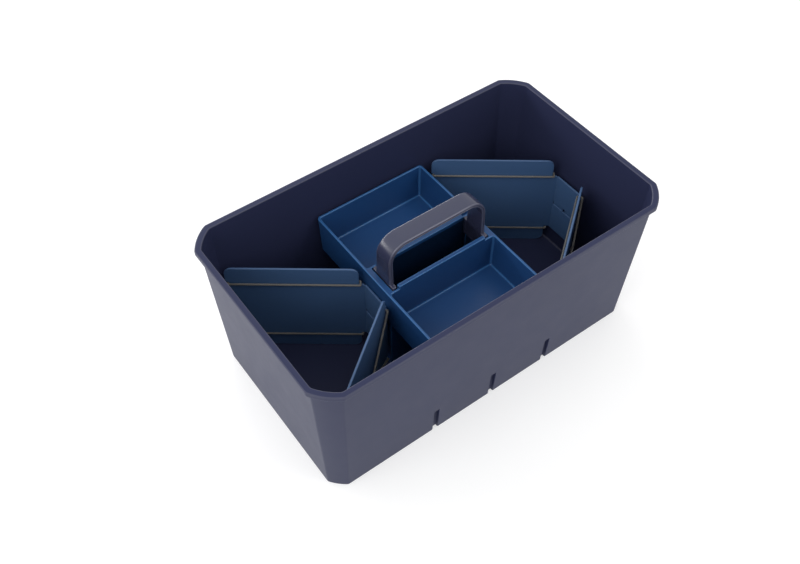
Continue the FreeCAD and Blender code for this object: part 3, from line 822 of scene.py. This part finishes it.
CORD_RADIUS = 1.1
CORD_FACE_GAP, CORD_SEAT_GAP = 0.6, 0.3
CORNER_BEND, CROSSING_BEND = 1.3, 14.0
CROSSING = 7                            # where in the route one run passes over the other
CORD_STEP, CORD_SIDES = 0.55, 12
YARN_RELIEF, YARN_ROOM = 0.045, 0.05    # depth of the relief, and how far in its middle lies
YARN_WAVES = 4                          # of the relief round the cord
YARN_TURN = math.pi / 3                 # of the yarns at each step along it
UV_PER_FACE = 0.5


def cord_route(unit, side):
    """Corners of an elastic loop round a wing: level runs inside, crossing runs outside."""
    place = unit.wing_place(side)
    inner = -(CORD_FACE_GAP + CORD_RADIUS)
    outer = PLATE + CORD_FACE_GAP + CORD_RADIUS
    near = TAB_INSET - CORD_SEAT_GAP - CORD_RADIUS
    far = unit.length - NOTCH_DEPTH + CORD_SEAT_GAP / 2 + CORD_RADIUS
    low = TAB_HEIGHT - CORD_SEAT_GAP / 2 - CORD_RADIUS
    high = unit.height - TAB_HEIGHT + CORD_SEAT_GAP / 2 + CORD_RADIUS
    over = outer + 2 * CORD_RADIUS + CORD_SEAT_GAP
    middle = ((near + far) / 2, (low + high) / 2)
    return [place(*point) for point in (
        (near, high, inner), (far, high, inner), (far, high, outer), (near, low, outer),
        (near, low, inner), (far, low, inner), (far, low, outer), (*middle, over),
        (near, high, outer))]


def curved_line(name, corners):
    """Points on a smooth closed curve that rounds the corners off."""
    controls = []
    for i, here in enumerate(corners):
        before, after = corners[i - 1], corners[(i + 1) % len(corners)]
        bend = CROSSING_BEND if i == CROSSING else CORNER_BEND
        controls += [here + (before - here).normalized() * bend, here,
                     here + (after - here).normalized() * bend]
    curve = bpy.data.curves.new(f"{name}_route", "CURVE")
    curve.dimensions = "3D"
    spline = curve.splines.new("NURBS")
    spline.points.add(len(controls) - 1)
    for point, place in zip(spline.points, controls):
        point.co = (*place, 1)
    spline.order_u = 3
    spline.use_cyclic_u = True
    spline.resolution_u = 6
    holder = bpy.data.objects.new(f"{name}_route", curve)
    bpy.context.scene.collection.objects.link(holder)
    bpy.context.view_layer.update()
    track = bpy.data.meshes.new_from_object(holder)
    points = [vertex.co.copy() for vertex in track.vertices]
    bpy.data.objects.remove(holder)
    bpy.data.meshes.remove(track)
    return points


def evenly_spaced(points):
    """Points at even steps along the closed line through the given points."""
    lengths = [0.0]
    for first, second in zip(points, points[1:] + points[:1]):
        lengths.append(lengths[-1] + (second - first).length)
    total = lengths[-1]
    steps = round(total / CORD_STEP)
    line, j = [], 0
    for i in range(steps):
        target = total * i / steps
        while lengths[j + 1] < target:
            j += 1
        share = (target - lengths[j]) / (lengths[j + 1] - lengths[j])
        line.append(points[j].lerp(points[(j + 1) % len(points)], share))
    return line


def braid_rings(skin, line):
    """Rings round the line on a frame carried along it. The two sets of yarns are a fine relief."""
    steps = len(line)
    tangents = [(line[(i + 1) % steps] - line[i - 1]).normalized() for i in range(steps)]
    side_way = tangents[0].orthogonal().normalized()
    rings = []
    for i, (middle, tangent) in enumerate(zip(line, tangents)):
        side_way = (side_way - tangent * side_way.dot(tangent)).normalized()
        up_way = tangent.cross(side_way)
        points = []
        for k in range(CORD_SIDES):
            a = 2 * math.pi * k / CORD_SIDES
            wave, turn = YARN_WAVES * a, i * YARN_TURN
            relief = YARN_RELIEF * math.cos(wave + turn) * math.cos(wave - turn)
            radius = CORD_RADIUS - YARN_ROOM + relief
            points.append(middle + (side_way * math.cos(a) + up_way * math.sin(a)) * radius)
        rings.append(skin.ring(points))
    return rings


def make_cord(unit, end, side):
    skin = Skin()
    layer = skin.bm.loops.layers.uv.new("UVMap")
    name = f"{unit.name}_{end}_cord"
    rings = braid_rings(skin, evenly_spaced(curved_line(name, cord_route(unit, side))))
    for i, first in enumerate(rings):
        second, twist = rings[(i + 1) % len(rings)], 0
        if i == len(rings) - 1:
            # the frame comes back turned, so the last band joins the nearest points
            twist = min(range(CORD_SIDES), key=lambda shift: (second[shift].co - first[0].co).length)
        for k in range(CORD_SIDES):
            face = skin.bm.faces.new((first[k], first[(k + 1) % CORD_SIDES],
                                      second[(k + 1 + twist) % CORD_SIDES],
                                      second[(k + twist) % CORD_SIDES]))
            for loop, (u, v) in zip(face.loops, ((k, i), (k + 1, i), (k + 1, i + 1), (k, i + 1))):
                loop[layer].uv = (u * UV_PER_FACE, v * UV_PER_FACE)
    skin.piece(f"{name}_braid", ELASTIC, f"{unit.name}_{end}_wing", [name],
               crease=80, marks="none")


# ---------------------------------------------------------------- studio

def make_floor():
    bpy.ops.mesh.primitive_plane_add(size=24, location=(0, 0, -0.2 * MM))
    floor = bpy.context.object
    floor.name = "studio_floor"
    material, tree, shader = shader_nodes("studio_paper")
    place = tree.nodes.new("ShaderNodeTexCoord").outputs["Object"]
    paper = blend_colours(tree, noise(tree, place, scale=6), (0.60, 0.60, 0.60), (0.63, 0.63, 0.63))
    tree.links.new(paper, shader.inputs["Base Color"])
    shader.inputs["Roughness"].default_value = 0.9
    shader.inputs["Emission Color"].default_value = (1, 1, 1, 1)
    shader.inputs["Emission Strength"].default_value = 0.45
    floor.data.materials.append(material)


def softbox(name, place, target, size, power):
    data = bpy.data.lights.new(name, "AREA")
    data.shape = "RECTANGLE"
    data.size, data.size_y = size
    data.energy = power
    lamp = bpy.data.objects.new(name, data)
    lamp.location = place
    lamp.rotation_mode = "QUATERNION"
    lamp.rotation_quaternion = (Vector(target) - Vector(place)).to_track_quat("-Z", "Y")
    bpy.context.scene.collection.objects.link(lamp)


def make_world():
    """White air, slightly brighter overhead than at the horizon."""
    world = bpy.data.worlds.new("studio_air")
    world.use_nodes = True
    tree = world.node_tree
    direction = tree.nodes.new("ShaderNodeTexCoord").outputs["Generated"]
    split = tree.nodes.new("ShaderNodeSeparateXYZ")
    tree.links.new(direction, split.inputs["Vector"])
    fade = tree.nodes.new("ShaderNodeMapRange")
    fade.inputs["From Min"].default_value = 0.0
    fade.inputs["From Max"].default_value = 0.8
    fade.inputs["To Min"].default_value = 0.80
    fade.inputs["To Max"].default_value = 0.84
    tree.links.new(split.outputs["Z"], fade.inputs["Value"])
    tree.links.new(fade.outputs["Result"], tree.nodes["Background"].inputs["Strength"])
    tree.nodes["Background"].inputs["Color"].default_value = (1, 1, 1, 1)
    bpy.context.scene.world = world


def make_studio():
    make_floor()
    softbox("key_left", (-1.35, -0.1, 1.3), target=(0, 0, 0.08), size=(1.0, 1.0), power=6)
    softbox("overhead", (-0.25, -0.45, 1.6), target=(0, 0, 0.05), size=(1.0, 1.0), power=2)
    softbox("front_right", (0.65, -1.15, 1.3), target=(0, 0, 0.12), size=(0.5, 0.5), power=3)
    softbox("back_strip", (-0.3, 1.7, 0.72), target=(0, 0, 0.12), size=(3.6, 0.5), power=27)
    make_world()


def make_camera():
    """From the front left, looking down into the tub."""
    data = bpy.data.cameras.new("photo_view")
    data.lens = 42.26
    data.sensor_width = 36.0
    data.clip_start, data.clip_end = 0.01, 20
    camera = bpy.data.objects.new("photo_view", data)
    camera.location = (-0.37734, -0.46371, 0.81397)
    camera.rotation_euler = (math.radians(90 - 51.079), 0, math.radians(-36.236))
    bpy.context.scene.collection.objects.link(camera)
    bpy.context.scene.camera = camera


make_camera()
make_tub()
make_tray()
make_handle()
for unit_name in ("left", "right"):
    unit = Unit(unit_name)
    make_spine(unit)
    for end, side in (("rear", 1), ("front", -1)):
        make_wing(unit, end, side)
        make_hinge(unit, end, side)
        make_cord(unit, end, side)
make_studio()
